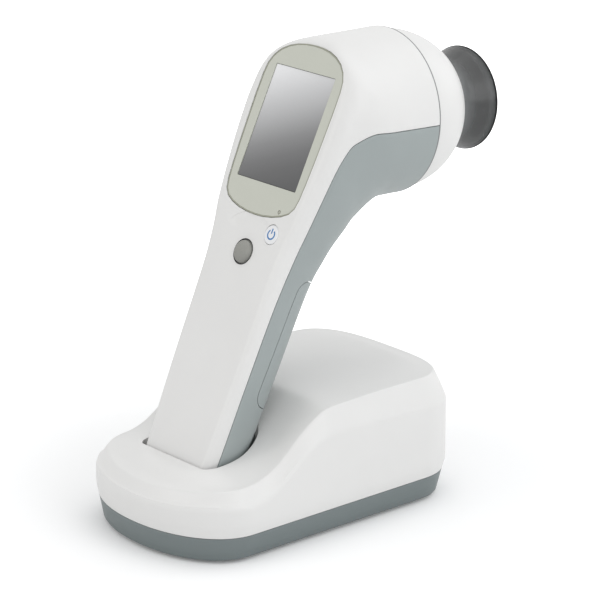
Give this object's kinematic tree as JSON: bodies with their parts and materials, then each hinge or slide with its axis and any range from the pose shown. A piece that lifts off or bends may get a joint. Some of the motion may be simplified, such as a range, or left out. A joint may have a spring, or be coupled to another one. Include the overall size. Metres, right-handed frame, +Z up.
{
  "type": "hand-held retina tester in dock",
  "caption": "Pistol-shaped hand-held eye tester with a tilted screen, joystick and rubber eyecup, standing in a charging dock with a sloping front.",
  "frame": {"origin": "on the table under the middle of the bounding box", "axes": "+X to the operator's right, +Y from the dock's nose to its rear and on to the eyecup, +Z up"},
  "size_m": [0.0918, 0.1854, 0.1976],
  "materials": {
    "white_shell": "satin white",
    "grey_shell": "satin cool grey",
    "dock_grey": "satin dark grey",
    "frame_sage": "glossy sage beige",
    "window": "clear over a grey screen",
    "screen": "dark panel",
    "light_pipe": "clear",
    "button_white": "satin white with a printed blue symbol",
    "stick_grey": "textured dark grey",
    "cup_rubber": "smoky translucent",
    "black_plastic": "black",
    "board_green": "circuit board",
    "steel": "plain",
    "contact_gold": "plated",
    "cell_blue": "sleeved",
    "bowl_white": "diffuse white",
    "light_tints": "tinted emitter",
    "foot_rubber": "black"
  },
  "bodies": {
    "dock": {"dock_top_shell": "white_shell", "dock_base": "dock_grey", "slot_liner": "grey_shell", "ballast_plate": "steel", "dock_board": "board_green", "contact_block": "black_plastic", "contact_pin_1": "contact_gold", "contact_pin_2": "contact_gold", "power_inlet": "black_plastic", "inlet_tongue": "contact_gold", "inlet_bracket": "black_plastic", "base_screw_1": "steel", "base_screw_2": "steel", "base_screw_3": "steel", "base_screw_4": "steel", "foot_1": "foot_rubber", "foot_2": "foot_rubber", "foot_3": "foot_rubber", "foot_4": "foot_rubber"},
    "handpiece": {"front_shell": "white_shell", "rear_shell": "grey_shell", "handle_end_cap": "grey_shell", "charge_pad_1": "contact_gold", "charge_pad_2": "contact_gold", "dome_ring": "white_shell", "reflecting_bowl": "bowl_white", "light_board": "board_green", "light_red": "light_tints", "light_green": "light_tints", "light_blue": "light_tints", "light_infrared": "light_tints", "camera_barrel": "black_plastic", "camera_lens": "window", "camera_board": "board_green", "eyecup_ring": "black_plastic", "display_frame": "frame_sage", "display_window": "window", "lcd_module": "screen", "status_light_pipe": "light_pipe", "power_switch": "black_plastic", "joystick_switch": "black_plastic", "inner_frame": "black_plastic", "main_board": "board_green", "board_screw_1": "steel", "board_screw_2": "steel", "board_screw_3": "steel", "board_screw_4": "steel", "processor": "black_plastic", "sounder": "black_plastic", "battery_tray": "black_plastic", "battery_cell": "cell_blue", "battery_contact_1": "contact_gold", "battery_contact_2": "contact_gold", "charge_board": "board_green"},
    "power_button": {"power_button": "button_white"},
    "joystick_gimbal": {"joystick_gimbal": "black_plastic"},
    "joystick_rocker": {"joystick_rocker": "steel"},
    "joystick_cap": {"joystick_cap": "stick_grey"},
    "eyecup": {"eyecup": "cup_rubber"},
    "battery_door": {"battery_door": "grey_shell"}
  },
  "joints": [
    {"name": "handpiece_lift", "type": "slide", "parent": "dock", "child": "handpiece", "axis": [0, 0.4274, 0.9041], "range_m": [0, 0.12]},
    {"name": "power_press", "type": "slide", "parent": "handpiece", "child": "power_button", "axis": [0, 0.8957, -0.4446], "range_m": [0, 0.0006], "stiffness_N_per_m": 800, "springref_m": -0.0003},
    {"name": "joystick_tilt_up", "type": "hinge", "parent": "handpiece", "child": "joystick_gimbal", "pos_m": [0, -0.03118, 0.11445], "axis": [1, 0, 0], "range_deg": [-7, 7], "stiffness_Nm_per_rad": 0.02},
    {"name": "joystick_tilt_side", "type": "hinge", "parent": "joystick_gimbal", "child": "joystick_rocker", "pos_m": [0, -0.03118, 0.11445], "axis": [0, 0.4446, 0.8957], "range_deg": [-7, 7], "stiffness_Nm_per_rad": 0.02},
    {"name": "joystick_press", "type": "slide", "parent": "joystick_rocker", "child": "joystick_cap", "axis": [0, 0.8957, -0.4446], "range_m": [0, 0.00035], "stiffness_N_per_m": 1500, "springref_m": -0.0002},
    {"name": "eyecup_pull", "type": "slide", "parent": "handpiece", "child": "eyecup", "axis": [0, 0.9986, -0.0523], "range_m": [0, 0.018]},
    {"name": "battery_door_tilt", "type": "hinge", "parent": "handpiece", "child": "battery_door", "pos_m": [0, -0.03238, 0.05019], "axis": [-1, 0, 0], "range_deg": [0, 12]}
  ]
}
